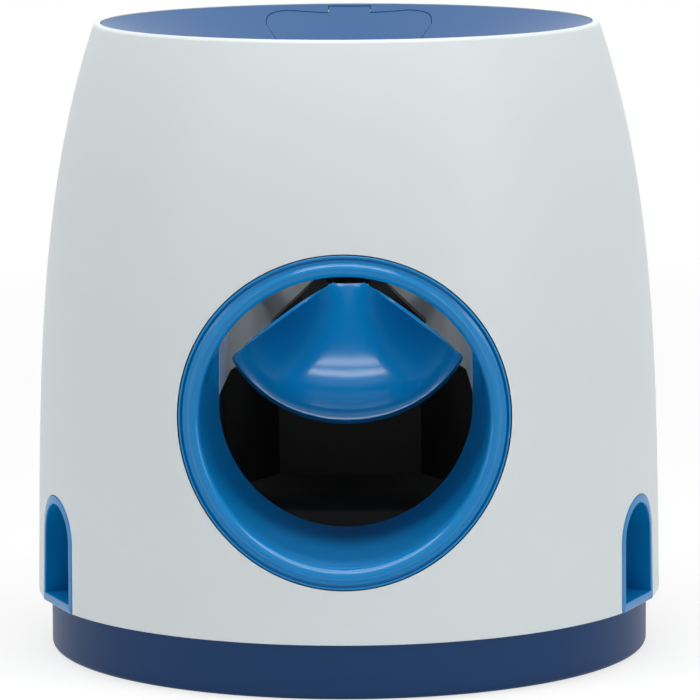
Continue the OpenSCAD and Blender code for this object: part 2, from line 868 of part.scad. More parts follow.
module hopper_screws() {
    shank = hopper_wall + hopper_front - shaft_back - fit_gap;
    color(steel) for (side = [-1, 1])
        translate([side * hopper_screw_x, hopper_front + hopper_wall + head_h, hopper_screw_z])
            rotate([90, 0, 0]) screw(shank);
}

// Plan of the right chute, drawn in by inset, its mouth run on towards the outlet by run_on
function chute_plan(inset, run_on) = let (
    half = outlet_w / 2 - inset,
    mouth = chute_out + outlet_axis * run_on,
    r = chute_r - inset,
    split = chute_split + inset
) concat(
    [[split, pan_front + inset], [pan_side + inset, pan_front + inset]],
    [mouth - outlet_across * half, mouth + outlet_across * half],
    [for (angle = chute_bends) polar(r, angle)],
    [[split, sqrt(r * r - split * split)]]
);

// Slab along the chute's slope, between two heights over its floor
module chute_slab(low, high) {
    translate([chute_out[0], chute_out[1], chute_out_z]) rotate([0, -chute_slope, chute_heading])
        translate([-shell_r, -shell_r, low]) cube([3 * shell_r, 2 * shell_r, high - low]);
}

// Height of the chute's floor over a place on plan
function chute_floor(place) = chute_out_z + tan(chute_slope) * (place - chute_out) * unit(chute_up);

module chute() {
    color(milky) {
        difference() {
            intersection() {
                linear_extrude(total_h) polygon(chute_plan(0, 0));
                chute_slab(-chute_wall, chute_side_h);
            }
            intersection() {
                linear_extrude(total_h) polygon(chute_plan(chute_wall, wall));
                chute_slab(0, total_h);
            }
            // Room for the drum and its cheeks
            rod(drum_r + chute_drum_gap, -past, hopper_half + past, drum_y, drum_z);
        }
        for (place = chute_foot_places) translate([place[0], place[1], floor_top])
            cylinder(r = chute_foot_r, h = chute_floor(place) - chute_wall / 2 - floor_top);
    }
}

module chute_right() {
    chute();
}

module chute_left() {
    mirror([1, 0, 0]) chute();
}

module outlet() {
    color(port_blue) intersection() {
        difference() {
            outlet_prism(0, outlet_back_r, shell_r + past);
            outlet_prism(-outlet_wall, outlet_back_r - past, shell_r + 2 * past);
        }
        cylinder(r = shell_r, h = total_h);
    }
}

module outlet_right() {
    outlet();
}

module outlet_left() {
    mirror([1, 0, 0]) outlet();
}

module base_tray() {
    low = foot_proud;
    color(navy) difference() {
        union() {
            rotate_extrude() difference() {
                union() {
                    translate([0, low + base_edge_r])
                        square([base_r, base_h + base_lip_h - low - base_edge_r]);
                    translate([0, low]) square([base_r - base_edge_r, base_h]);
                    translate([base_r - base_edge_r, low + base_edge_r]) circle(r = base_edge_r);
                }
                translate([0, floor_top]) square([base_r - wall, total_h]);
            }
            for (angle = boss_angles) rotate([0, 0, angle])
                translate([boss_ring_r, 0, low]) cylinder(r = boss_r + past, h = boss_low - low);
        }
        both_sides() outlet_prism(fit_gap, outlet_back_r - past, shell_r);
        for (angle = boss_angles) rotate([0, 0, angle]) translate([boss_ring_r, 0, -past]) {
            cylinder(r = pilot_r, h = boss_low + 2 * past);
            cylinder(r = head_hole_r, h = past + floor_top);
        }
        both_sides() for (y = foot_boss_places) translate([foot_boss_x, y, -past]) {
            cylinder(r = pilot_r, h = base_h);
            cylinder(r = head_hole_r, h = past + low + head_h);
        }
        for (angle = foot_angles) rotate([0, 0, angle])
            translate([foot_ring_r, 0, -past]) cylinder(r = foot_r, h = past + foot_h);
    }
}

module rubber_feet() {
    color(rubber) for (angle = foot_angles) rotate([0, 0, angle])
        translate([foot_ring_r, 0, 0]) cylinder(r = foot_r, h = foot_h);
}

module base_screws() {
    color(steel) for (angle = boss_angles) rotate([0, 0, angle])
        translate([boss_ring_r, 0, floor_top - head_h]) screw(boss_low + boss_h - 2 * past - floor_top);
}

module chamber_screws() {
    color(steel) both_sides() for (y = foot_boss_places)
        translate([foot_boss_x, y, foot_proud]) screw(base_floor_t - head_h + foot_boss_h - 2 * past);
}

module shaft_screws() {
    color(steel) both_sides() for (y = tab_places)
        translate([tab_x, y, seam_z + tab_t + head_h]) rotate([180, 0, 0]) screw(shaft_screw_h);
}

body_shell();
top_funnel();
hopper_lid();
lid_pin();
port_ring();
ball_shaft();
ball_chamber();
ball_paddle();
paddle_arm();
paddle_axle();
axle_bushes();
axle_clips();
return_spring();
sector_gear();
drum_gear();
dosing_drum();
drum_axle();
drum_bushes();
drum_clips();
treat_hopper();
hopper_screws();
chute_left();
chute_right();
outlet_left();
outlet_right();
base_tray();
rubber_feet();
base_screws();
chamber_screws();
shaft_screws();
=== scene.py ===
import json
import math

import bpy
from mathutils import Euler, Matrix, Vector


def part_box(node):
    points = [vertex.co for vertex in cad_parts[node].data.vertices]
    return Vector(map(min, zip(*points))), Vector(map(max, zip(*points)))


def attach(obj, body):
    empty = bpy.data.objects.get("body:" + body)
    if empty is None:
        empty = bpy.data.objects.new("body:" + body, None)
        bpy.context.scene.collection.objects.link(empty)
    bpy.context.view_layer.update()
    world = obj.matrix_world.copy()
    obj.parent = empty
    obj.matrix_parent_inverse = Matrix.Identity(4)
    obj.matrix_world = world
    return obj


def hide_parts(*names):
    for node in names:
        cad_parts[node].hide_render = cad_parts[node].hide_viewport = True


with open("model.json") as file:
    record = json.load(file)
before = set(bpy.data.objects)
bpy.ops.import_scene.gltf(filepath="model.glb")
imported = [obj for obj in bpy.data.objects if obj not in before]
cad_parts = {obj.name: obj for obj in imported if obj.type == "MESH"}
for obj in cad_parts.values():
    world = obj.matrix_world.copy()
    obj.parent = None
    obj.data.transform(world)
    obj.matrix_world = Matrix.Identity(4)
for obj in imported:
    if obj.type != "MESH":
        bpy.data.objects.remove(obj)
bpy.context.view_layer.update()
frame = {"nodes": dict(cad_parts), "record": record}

# Sizes of the pieces, in millimetres
MM = 0.001
shell_low, shell_high = (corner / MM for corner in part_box("body_shell"))
funnel_low, funnel_high = (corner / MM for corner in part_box("top_funnel"))
base_low, base_high = (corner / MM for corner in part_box("base_tray"))
feet_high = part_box("rubber_feet")[1] / MM

# Casing: it leans in evenly, and tapers with a power of the height
SHELL_R = shell_high.x - 0.1
SHELL_TOP = shell_high.z
SHELL_LOW = shell_low.z - 0.3
SHELL_LEAN = 0.015
SHELL_TAPER = 14.9
TAPER_POWER = 3.5
WALL = 2.5
SHELL_LIP_ROUND = 1.5
SHELL_FOOT_ROUND = 0.7
SHELL_SEAT_DROP = 0.05

# Dish, with its rim, and the ball throat below it
RIM_R = funnel_high.x + 0.4
RIM_Z = SHELL_TOP - 0.2
RIM_ROUND = 0.5
RIM_GAP = 0.08
DISH_SLOPE = math.radians(20)
DISH_DROP = WALL / math.cos(DISH_SLOPE)
THROAT_R = 35
THROAT_ROUND = 6
THROAT_MIDDLE_Z = 140
GUSSET_W = 4
GUSSET_H = 9
SKIRT_LOW = 162

# Lid, seen from above, and its hinge
LID_W = 47.5
LID_LOW_W = 41.5
LID_LOW_Y = 41.5
LID_SHOULDER_Y = 50.5
LID_TOP_Y = 62
LID_CORNER = 8
LID_GAP = 0.18
LID_EDGE_ROUND = 0.3
TONGUE_W = 12
TONGUE_PAST_AXIS = 0.3
LID_AXIS_IN = 1.75
LID_AXIS_Y = funnel_high.x - LID_AXIS_IN
LID_AXIS_Z = funnel_high.z - LID_AXIS_IN * math.tan(DISH_SLOPE) - DISH_DROP / 2
KNUCKLE_R = 1.4
KNUCKLE_SWING_IN = 0.35

# Port ring, from its lip inwards, and the tunnel behind it
PORT_Z = 75
PORT_R = 44.3
PORT_GAP = 0.3
LIP_W = 0.65
LIP_FRONT = 0.4
GROOVE_W = 0.35
GROOVE_DEPTH = 1.2
LEDGE_FRONT = 0.85
BEAD_MIDDLE_R = 40.85
BEAD_STEEPNESS = 0.5
BEAD_POWER = 1.7
BEAD_OUT = 1.4
BEAD_IN = -1.9
BEZEL_PROUD = 0.55
RING_FRONT = 3.8
BEZEL_T = 10
RING_DEPTH = 30
TUNNEL_R = 38.3
TUNNEL_WALL = 2.5
TUNNEL_END_ROUND = 0.6
SOCKET_DEPTH = 3
SOCKET_GAP = 0.2
PORT_HOLE_R = 34.4
PORT_HOLE_Y = -46

# Ball shaft and chamber, split at the seam and held by screw tabs
SHAFT_X = 38
SHAFT_FRONT_Y = -48
SHAFT_BACK_Y = 38
SHAFT_WALL = 2
SHAFT_TOP = 118
COLLAR_GAP = 0.15
COLLAR_BITE = 1
SEAM_Z = 76
WAY_FRONT_X = 34.8
WAY_X = 33.4
WAY_BACK_Y = SHAFT_BACK_Y - SHAFT_WALL
WAY_POWER = 0.87
BAY_SHOULDER_Y = 11
BAY_X = 35
BAY_BEND = (29.4, 20)
PANEL_X = 20.5
PANEL_SIDE_WALL = 1.2
SLIDE_FRONT_Z = 39.8
SLIDE_BACK_Z = 41.4
SLIDE_BITE = 1
TAB_REACH = 8
TAB_BITE = 1
TAB_LEN = 12
TAB_T = 3
TAB_YS = (-36, 4)
BOSS_R = 4
BOSS_H = 12
AXLE_Y = 25
AXLE_Z = 104
BUSH_R = 4.5

# Scoop: control points of its right edge, as (x, y, z), and of its middle line, as (y, z)
SCOOP_EDGE = [(4.6, 17.8, 99.3), (18.4, -3, 91.8), (32.2, -12, 82.6)]
SCOOP_SPINE = [(18.4, 98.8), (10.4, 85.4), (5.2, 73.5), (-0.5, 66.8), (-15, 71.8), (-20.8, 65.8)]
SCOOP_LIP_BOW = 0.87
SCOOP_FLATNESS = (2, 5.5)
SCOOP_T = 1.5
SCOOP_EDGE_ROUND = 0.6

# Outlets
OUTLET_FROM_FRONT = 67.7
OUTLET_HEADING = math.radians(OUTLET_FROM_FRONT - 90)
OUTLET_HALF = 12.2
OUTLET_SPREAD = 0.4
OUTLET_PROUD = 0.12
OUTLET_TOP = 46.9
OUTLET_WALL = 2.4
OUTLET_DEPTH = 21.5
OUTLET_CORNER = 1.2
OUTLET_LEAST_CORNER = 0.2
OUTLET_EDGE_ROUND = 0.45
OUTLET_CASING_GAP = 0.12
OUTLET_BASE_GAP = 0.3

# Base and feet
BASE_R = base_high.x - 0.5
BASE_LOW = base_low.z - 0.75
BASE_TOP = base_high.z
BASE_EDGE_ROUND = 1.6
BASE_TOP_BEVEL = 0.5
FLOOR_TOP = 5
FOOT_R = 7
FOOT_TOP = feet_high.z
FOOT_GAP = 0.05
FOOT_HOLLOW = 0.35
FOOT_RIM_W = 1.8
FOOT_RIM_SLOPE_W = 0.4
FOOT_EDGE_ROUND = 0.6
FOOT_RING_R = 62
FOOT_ANGLES = (45, 135, 225, 315)

# Screws
SCREW_R = 1.5
SCREW_HEAD_R = 3
SCREW_HEAD_H = 2
SCREW_HOLE_R = 3.4
SCREW_NECK_H = 1
SCREW_POINT_H = 1.4
THREAD_PITCH = 1
THREAD_DEPTH = 0.3
UNTHREADED_H = 3
RECESS_REACH = 1.7
RECESS_HALF_W = 0.35
RECESS_DEPTH = 1.1
CASING_SCREW_RING_R = 76
CASING_SCREW_ANGLES = (30, 150, 235, 305)
CHAMBER_SCREW_X = 33
CHAMBER_SCREW_YS = (-36, 0)

# How close points merge, how far a cutter reaches past what it cuts, and the steps of a full turn
MERGE_REACH = 0.002
CUT_PAST = 2
SPIN_STEPS = 192


# Outlines

def arc(middle, radius, start, end, count):
    """Points of an arc in a half section, with its angles in degrees."""
    angles = [math.radians(start + (end - start) * i / count) for i in range(count + 1)]
    return [(middle[0] + radius * math.cos(a), middle[1] + radius * math.sin(a)) for a in angles]


def shell_radius(z):
    """Outer radius of the casing at a height: it leans in a little, and ever more towards the top."""
    rise = max(z - SHELL_LOW, 0)
    return SHELL_R - SHELL_LEAN * rise - SHELL_TAPER * (rise / (SHELL_TOP - SHELL_LOW)) ** TAPER_POWER


def dish_z(r):
    """Height of the dish at a radius."""
    return RIM_Z - (RIM_R - r) * math.tan(DISH_SLOPE)


def both_sides(right):
    """Closed outline on plan, from the points of its right half."""
    return right + [(-x, y) for x, y in reversed(right)]


def bezier(points, t):
    """Point of the curve that a list of control points gives."""
    while len(points) > 1:
        points = [a.lerp(b, t) for a, b in zip(points, points[1:])]
    return points[0]


def around(angle, r, z):
    """Place at an angle in degrees round the upright axis."""
    turn = math.radians(angle)
    return Vector((r * math.cos(turn), r * math.sin(turn), z))


# Modelling

def clear_selection():
    if bpy.context.mode != "OBJECT":
        bpy.ops.object.mode_set(mode="OBJECT")
    bpy.ops.object.select_all(action="DESELECT")


def pick(piece):
    """Makes one piece the selected and active one."""
    clear_selection()
    piece.select_set(True)
    bpy.context.view_layer.objects.active = piece


def draw_line(points):
    """In edit mode, draws edges through points in millimetres, which end up selected at the last one."""
    bpy.ops.mesh.select_all(action="DESELECT")
    bpy.ops.mesh.primitive_plane_add(size=MM)
    bpy.ops.mesh.merge(type="CENTER")
    bpy.ops.transform.translate(value=Vector(points[0]) * MM)
    for start, end in zip(points, points[1:]):
        step = (Vector(end) - Vector(start)) * MM
        bpy.ops.mesh.extrude_vertices_move(TRANSFORM_OT_translate={"value": step})


def start_piece(name):
    """A new empty piece, in edit mode."""
    clear_selection()
    bpy.ops.mesh.primitive_plane_add(size=MM)
    piece = bpy.context.object
    piece.name = name
    piece.data.name = name
    bpy.ops.object.mode_set(mode="EDIT")
    bpy.ops.mesh.select_mode(type="VERT")
    bpy.ops.mesh.select_all(action="SELECT")
    bpy.ops.mesh.delete(type="VERT")
    return piece


def close_mesh():
    """Merges what coincides and turns the faces outwards, in edit mode."""
    bpy.ops.mesh.select_all(action="SELECT")
    bpy.ops.mesh.remove_doubles(threshold=MERGE_REACH * MM)
    bpy.ops.mesh.normals_make_consistent(inside=False)


def turn_piece(name, section, steps=SPIN_STEPS):
    """Spins a closed half section of (radius, height) points round the upright axis."""
    piece = start_piece(name)
    draw_line([(r, 0, z) for r, z in section + section[:1]])
    bpy.ops.mesh.select_all(action="SELECT")
    bpy.ops.mesh.spin(steps=steps, angle=math.tau, center=(0, 0, 0), axis=(0, 0, 1))
    close_mesh()
    bpy.ops.object.mode_set(mode="OBJECT")
    return piece


def slab(name, loop, reach):
    """Fills a closed loop of points and extrudes it by the reach."""
    piece = start_piece(name)
    draw_line(loop + loop[:1])
    bpy.ops.mesh.select_all(action="SELECT")
    bpy.ops.mesh.remove_doubles(threshold=MERGE_REACH * MM)
    bpy.ops.mesh.edge_face_add()
    bpy.ops.mesh.extrude_region_move(TRANSFORM_OT_translate={"value": Vector(reach) * MM})
    close_mesh()
    bpy.ops.object.mode_set(mode="OBJECT")
    return piece


def prism(name, outline, low, high):
    """Stands an outline of (x, y) points up between two heights."""
    return slab(name, [(x, y, low) for x, y in outline], (0, 0, high - low))


def cylinder(name, place, radius, height, tilt=(0, 0, 0), vertices=64):
    """A plain cylinder, middled on its place, for cutting and joining."""
    clear_selection()
    bpy.ops.mesh.primitive_cylinder_add(vertices=vertices, radius=radius * MM, depth=height * MM,
                                        location=Vector(place) * MM, rotation=tilt)
    piece = bpy.context.object
    piece.name = name
    bpy.ops.object.transform_apply(location=True, rotation=True, scale=True)
    return piece


def block(name, low, high):
    """A plain box between two corners, for cutting."""
    clear_selection()
    middle = (Vector(low) + Vector(high)) / 2
    bpy.ops.mesh.primitive_cube_add(size=1, location=middle * MM)
    piece = bpy.context.object
    piece.name = name
    piece.scale = (Vector(high) - Vector(low)) * MM
    bpy.ops.object.transform_apply(location=True, rotation=True, scale=True)
    return piece


def join(name, pieces):
    """Makes one piece of several."""
    clear_selection()
    for piece in pieces:
        piece.select_set(True)
    bpy.context.view_layer.objects.active = pieces[0]
    bpy.ops.object.join()
    pieces[0].name = name
    pieces[0].data.name = name
    return pieces[0]


def copies(piece, places):
    """A copy of the piece, with its own mesh, at each place; the piece itself is removed."""
    made = []
    for place in places:
        pick(piece)
        bpy.ops.object.duplicate()
        bpy.ops.transform.translate(value=Vector(place) * MM)
        bpy.ops.object.transform_apply(location=True, rotation=True, scale=True)
        made.append(bpy.context.object)
    bpy.data.objects.remove(piece)
    return made


def combine(piece, tool, operation="DIFFERENCE"):
    """Applies a Boolean of the tool to the piece and removes the tool."""
    pick(piece)
    modifier = piece.modifiers.new("combine", "BOOLEAN")
    modifier.object = tool
    modifier.operation = operation
    modifier.solver = "EXACT"
    bpy.ops.object.modifier_apply(modifier=modifier.name)
    bpy.data.objects.remove(tool)


def round_edges(piece, width, segments=3, angle=40):
    """Rounds every edge that is sharper than the angle."""
    pick(piece)
    modifier = piece.modifiers.new("round", "BEVEL")
    modifier.width = width * MM
    modifier.segments = segments
    modifier.limit_method = "ANGLE"
    modifier.angle_limit = math.radians(angle)
    modifier.use_clamp_overlap = True
    bpy.ops.object.modifier_apply(modifier=modifier.name)


def fit_piece(piece, body, node, slot, smooth=35):
    """Shades a finished piece smooth, gives it its finish and puts it in the place of its node."""
    pick(piece)
    bpy.ops.object.shade_smooth_by_angle(angle=math.radians(smooth))
    # Large faces stay even beside their rounded edges
    weights = piece.modifiers.new("weights", "WEIGHTED_NORMAL")
    weights.keep_sharp = True
    bpy.ops.object.modifier_apply(modifier=weights.name)
    piece.data.materials.clear()
    piece.data.materials.append(finishes[slot])
    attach(piece, body)
    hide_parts(node)


# Finishes

def linear(hex_colour):
    """Linear RGBA of an sRGB hex colour."""
    parts = [int(hex_colour[i:i + 2], 16) / 255 for i in (1, 3, 5)]
    return tuple(p / 12.92 if p <= 0.04045 else ((p + 0.055) / 1.055) ** 2.4 for p in parts) + (1,)


def add_node(tree, kind, settings=None, links=None):
    """Adds a node, sets its sockets or properties, and links outputs to its inputs."""
    node = tree.nodes.new(kind)
    for name, value in (settings or {}).items():
        if isinstance(name, int) or name in node.inputs:
            node.inputs[name].default_value = value
        else:
            setattr(node, name, value)
    for name, output in (links or {}).items():
        tree.links.new(output, node.inputs[name])
    return node


def start_finish(name):
    material = bpy.data.materials.new(name)
    material.use_nodes = True
    tree = material.node_tree
    tree.nodes.clear()
    place = add_node(tree, "ShaderNodeTexCoord").outputs["Object"]
    return material, tree, place


def end_finish(tree, settings, links):
    shader = add_node(tree, "ShaderNodeBsdfPrincipled", settings, links)
    add_node(tree, "ShaderNodeOutputMaterial", links={"Surface": shader.outputs["BSDF"]})


def moulded(name, colours, roughness, grain, depth, mottle=40, specular=0.5):
    """Injection-moulded plastic: an even colour with a faint cloudy mottle and a fine tool texture.

    grain is the size of the texture and depth its height, mottle the size of the clouds, in millimetres.
    """
    material, tree, place = start_finish(name)
    clouds = add_node(tree, "ShaderNodeTexNoise", {"Scale": 1 / (mottle * MM), "Detail": 3},
                      {"Vector": place})
    colour = add_node(tree, "ShaderNodeMix",
                      {"data_type": "RGBA", 6: linear(colours[0]), 7: linear(colours[1])},
                      {0: clouds.outputs["Fac"]})
    texture = add_node(tree, "ShaderNodeTexNoise", {"Scale": 1 / (grain * MM), "Detail": 2},
                       {"Vector": place})
    rough = add_node(tree, "ShaderNodeMapRange", {"To Min": roughness[0], "To Max": roughness[1]},
                     {"Value": texture.outputs["Fac"]})
    bump = add_node(tree, "ShaderNodeBump", {"Strength": 1, "Distance": depth * MM},
                    {"Height": texture.outputs["Fac"]})
    end_finish(tree, {"Specular IOR Level": specular},
               {"Base Color": colour.outputs[2], "Roughness": rough.outputs["Result"],
                "Normal": bump.outputs["Normal"]})
    return material


def plated_steel():
    """Zinc-plated steel wire and rod: bright grey with fine drawing marks and a patchy sheen."""
    material, tree, place = start_finish("zinc_plated_steel")
    marks = add_node(tree, "ShaderNodeMapping", {"Scale": (0.1, 1, 1)}, {"Vector": place})
    lines = add_node(tree, "ShaderNodeTexNoise", {"Scale": 1 / (0.3 * MM), "Detail": 3},
                     {"Vector": marks.outputs["Vector"]})
    rough = add_node(tree, "ShaderNodeMapRange", {"To Min": 0.22, "To Max": 0.42},
                     {"Value": lines.outputs["Fac"]})
    patches = add_node(tree, "ShaderNodeTexNoise", {"Scale": 1 / (4 * MM)}, {"Vector": place})
    colour = add_node(tree, "ShaderNodeMix",
                      {"data_type": "RGBA", 6: linear("#aeb2b6"), 7: linear("#c6c9cc")},
                      {0: patches.outputs["Fac"]})
    bump = add_node(tree, "ShaderNodeBump", {"Strength": 1, "Distance": 0.01 * MM},
                    {"Height": lines.outputs["Fac"]})
    end_finish(tree, {"Metallic": 1},
               {"Base Color": colour.outputs[2], "Roughness": rough.outputs["Result"],
                "Normal": bump.outputs["Normal"]})
    return material


finishes = {
    # ABS from a spark-eroded tool: a satin pale grey, the grain drawn at twice its size so that it shows
    "shell_plastic": moulded("satin_abs_pale_grey", ("#d2d9db", "#d5dcde"), roughness=(0.40, 0.5),
                             grain=0.5, depth=0.012, mottle=60),
    # Polypropylene from a polished tool: clear highlights, slightly wavy
    "blue_plastic": moulded("polished_polypropylene_blue", ("#0478b8", "#067ebe"), roughness=(0.14, 0.21),
                            grain=1.2, depth=0.005, specular=0.28),
    # Polypropylene from a finely stoned tool: a soft sheen
    "dish_plastic": moulded("stoned_polypropylene_blue", ("#2f5786", "#335b8a"), roughness=(0.3, 0.4),
                            grain=0.6, depth=0.01, specular=0.12),
    # The same in navy
    "navy_plastic": moulded("stoned_polypropylene_navy", ("#1e3e69", "#21416d"), roughness=(0.36, 0.46),
                            grain=0.6, depth=0.01, specular=0.12),
    # ABS, black, from a blasted tool: dull, so that it drinks the light. Its black is partly painted shade:
    # the chamber under the scoop and the paddle's arm behind the scoop's upper edges are black where the
    # shade falls inside the port
    "black_plastic": moulded("blasted_abs_black_and_painted_shade", ("#222222", "#252525"), roughness=(0.4, 0.5),
                             grain=0.8, depth=0.008, specular=0.2),
    # Unpigmented acetal: an even milky white with a satin skin
    "milky_plastic": moulded("natural_acetal", ("#c6c9cd", "#cdd0d3"), roughness=(0.38, 0.48),
                             grain=0.6, depth=0.01),
    "steel": plated_steel(),
    # Moulded rubber: dull, with a dusty grain
    "rubber": moulded("moulded_rubber_black", ("#232528", "#2b2d30"), roughness=(0.7, 0.85),
                      grain=0.4, depth=0.03, mottle=6),
}


# Casing: a tapering barrel with holes for the port and the outlets

def arch_outline(grow):
    """Outline of an outlet as (across, height) points.

    It is an arch whose sides spread a little towards its foot.
    """
    half = OUTLET_HALF + grow
    foot = half + OUTLET_SPREAD
    low = SHELL_LOW - grow
    corner = max(OUTLET_CORNER + grow, OUTLET_LEAST_CORNER)
    spring = OUTLET_TOP - OUTLET_HALF
    right = arc((foot - corner, low + corner), corner, -90, 0, 4)
    left = arc((-foot + corner, low + corner), corner, 180, 270, 4)
    return right + arc((0, spring), half, 0, 180, 32) + left


def outlet_place(side, along, across, z):
    """Place on an outlet: along its own axis from the middle of the casing, across it, and up."""
    x = along * math.cos(OUTLET_HEADING) - across * math.sin(OUTLET_HEADING)
    y = along * math.sin(OUTLET_HEADING) + across * math.cos(OUTLET_HEADING)
    return Vector((side * x, y, z))


def outlet_cutter(side, grow):
    """Solid that cuts room for an outlet."""
    inner, outer = SHELL_R - OUTLET_DEPTH, SHELL_R + CUT_PAST
    loop = [outlet_place(side, inner, u, z) for u, z in arch_outline(grow)]
    return slab("outlet_cutter", loop, outlet_place(side, outer - inner, 0, 0))


def make_casing():
    lean = math.atan(shell_radius(SHELL_TOP - 1) - shell_radius(SHELL_TOP))
    wall_top = SHELL_TOP - SHELL_LIP_ROUND * (1 - math.sin(lean))
    lip_middle = (shell_radius(wall_top) - SHELL_LIP_ROUND * math.cos(lean), SHELL_TOP - SHELL_LIP_ROUND)
    foot_middle = (SHELL_R - SHELL_FOOT_ROUND, SHELL_LOW + SHELL_FOOT_ROUND)
    heights = [SHELL_LOW + (wall_top - SHELL_LOW) * i / 40 for i in range(1, 40)]
    seat_r = RIM_R + RIM_GAP
    section = arc(foot_middle, SHELL_FOOT_ROUND, -90, 0, 4) + [(shell_radius(z), z) for z in heights]
    section += arc(lip_middle, SHELL_LIP_ROUND, math.degrees(lean), 90, 6)
    section += [(seat_r, SHELL_TOP - SHELL_SEAT_DROP), (seat_r, heights[-1])]
    section += [(shell_radius(z) - WALL, z) for z in reversed(heights[:-1])]
    section += [(SHELL_R - WALL, SHELL_LOW)]
    casing = turn_piece("body_shell_skin", section)
    combine(casing, cylinder("port_cutter", (0, -SHELL_R, PORT_Z), PORT_R + PORT_GAP, SHELL_R,
                             tilt=(math.pi / 2, 0, 0), vertices=SPIN_STEPS))
    for side in (-1, 1):
        combine(casing, outlet_cutter(side, OUTLET_CASING_GAP))
    fit_piece(casing, "casing", "body_shell", "shell_plastic")


# Funnel: a sloping dish that runs into the ball throat, with the filling lid behind

def lid_outline(grow, tongue_end):
    """Outline of the lid on plan, with its tongue running back to tongue_end."""
    corner_x, corner_y = LID_W / 2 - LID_CORNER, LID_TOP_Y - LID_CORNER
    tongue = TONGUE_W / 2 + grow
    right = [(LID_LOW_W / 2 + grow, LID_LOW_Y - grow), (LID_W / 2 + grow, LID_SHOULDER_Y)]
    right += arc((corner_x, corner_y), LID_CORNER + grow, 0, 90, 10)
    right += [(tongue, LID_TOP_Y + grow), (tongue, tongue_end)]
    return both_sides(right)


def make_funnel():
    slope = math.degrees(DISH_SLOPE)
    throat_middle_r = THROAT_R + THROAT_ROUND
    throat_middle = (throat_middle_r, dish_z(throat_middle_r) - THROAT_ROUND / math.cos(DISH_SLOPE))
    skirt_in_r = RIM_R - WALL
    throat_out_r = THROAT_R + WALL
    under_r = THROAT_R + GUSSET_W
    section = arc((RIM_R - RIM_ROUND, RIM_Z - RIM_ROUND), RIM_ROUND, 0, 90 + slope, 5)
    section += arc(throat_middle, THROAT_ROUND, 90 + slope, 180, 10)
    section += [(THROAT_R, THROAT_MIDDLE_Z), (THROAT_R, funnel_low.z), (throat_out_r, funnel_low.z)]
    section += [(throat_out_r, dish_z(under_r) - GUSSET_H), (under_r, dish_z(under_r) - DISH_DROP)]
    section += [(skirt_in_r, dish_z(skirt_in_r) - DISH_DROP), (skirt_in_r, SKIRT_LOW), (RIM_R, SKIRT_LOW)]
    funnel = turn_piece("top_funnel_dish", section)
    combine(funnel, prism("lid_cutter", lid_outline(LID_GAP, LID_TOP_Y + 1),
                          SKIRT_LOW - CUT_PAST, SHELL_TOP + CUT_PAST))
    # Notch for the tongue, open under the rim where its end swings
    half = TONGUE_W / 2 + LID_GAP
    knuckle_low = LID_AXIS_Z - KNUCKLE_R - LID_GAP
    tongue_end = LID_AXIS_Y + TONGUE_PAST_AXIS
    notch_end = tongue_end + LID_GAP
    swing_end = RIM_R - KNUCKLE_SWING_IN
    notch_start = LID_TOP_Y - CUT_PAST
    notch = [(notch_start, knuckle_low), (swing_end, knuckle_low), (swing_end, dish_z(tongue_end))]
    notch += [(notch_end, dish_z(tongue_end)), (notch_end, SHELL_TOP), (notch_start, SHELL_TOP)]
    combine(funnel, slab("tongue_cutter", [(-half, y, z) for y, z in notch], (2 * half, 0, 0)))
    fit_piece(funnel, "casing", "top_funnel", "dish_plastic")


def make_lid():
    section = [(r, dish_z(r)) for r in (RIM_R, LID_LOW_Y - CUT_PAST)]
    section += [(r, z - DISH_DROP) for r, z in reversed(section)]
    lid = turn_piece("hopper_lid_skin", section)
    outline = lid_outline(0, LID_AXIS_Y + TONGUE_PAST_AXIS)
    combine(lid, prism("lid_blank", outline, SKIRT_LOW - CUT_PAST, SHELL_TOP), "INTERSECT")
    knuckle = cylinder("knuckle", (0, LID_AXIS_Y, LID_AXIS_Z), KNUCKLE_R, TONGUE_W, tilt=(0, math.pi / 2, 0),
                       vertices=32)
    combine(lid, knuckle, "UNION")
    round_edges(lid, LID_EDGE_ROUND, segments=2, angle=50)
    fit_piece(lid, "lid", "hopper_lid", "dish_plastic", smooth=15)


# Port ring: a bezel bent to the casing, and a tunnel that narrows to the ball chamber

def casing_front(x, z):
    """Depth of the casing's front at a place, in millimetres."""
    return -math.sqrt(shell_radius(z) ** 2 - x ** 2)


def tunnel_end(angle):
    """Radius of the tunnel's inner end: a half circle below, with straight sides above it."""
    if math.sin(angle) <= 0:
        return PORT_HOLE_R
    return min(PORT_HOLE_R / max(abs(math.cos(angle)), 0.5), TUNNEL_R)


def narrowing(y):
    """How far the tunnel has narrowed at a depth of the flat ring: 0 behind the bead, 1 at its inner end."""
    return max(y - RING_FRONT, 0) / (RING_DEPTH - RING_FRONT)


def lay_on_casing(x, y, z):
    """Place of a point of the flat ring: its front follows the casing, and its inner end opens out above."""
    front = casing_front(x, z) - BEZEL_PROUD
    laid = front + min(y, RING_FRONT) + (PORT_HOLE_Y - front - RING_FRONT) * narrowing(y)
    out = Vector((x, 0, z - PORT_Z))
    wider = (tunnel_end(math.atan2(out.z, out.x)) - PORT_HOLE_R) * narrowing(y)
    return Vector((x, laid, z)) + out.normalized() * wider


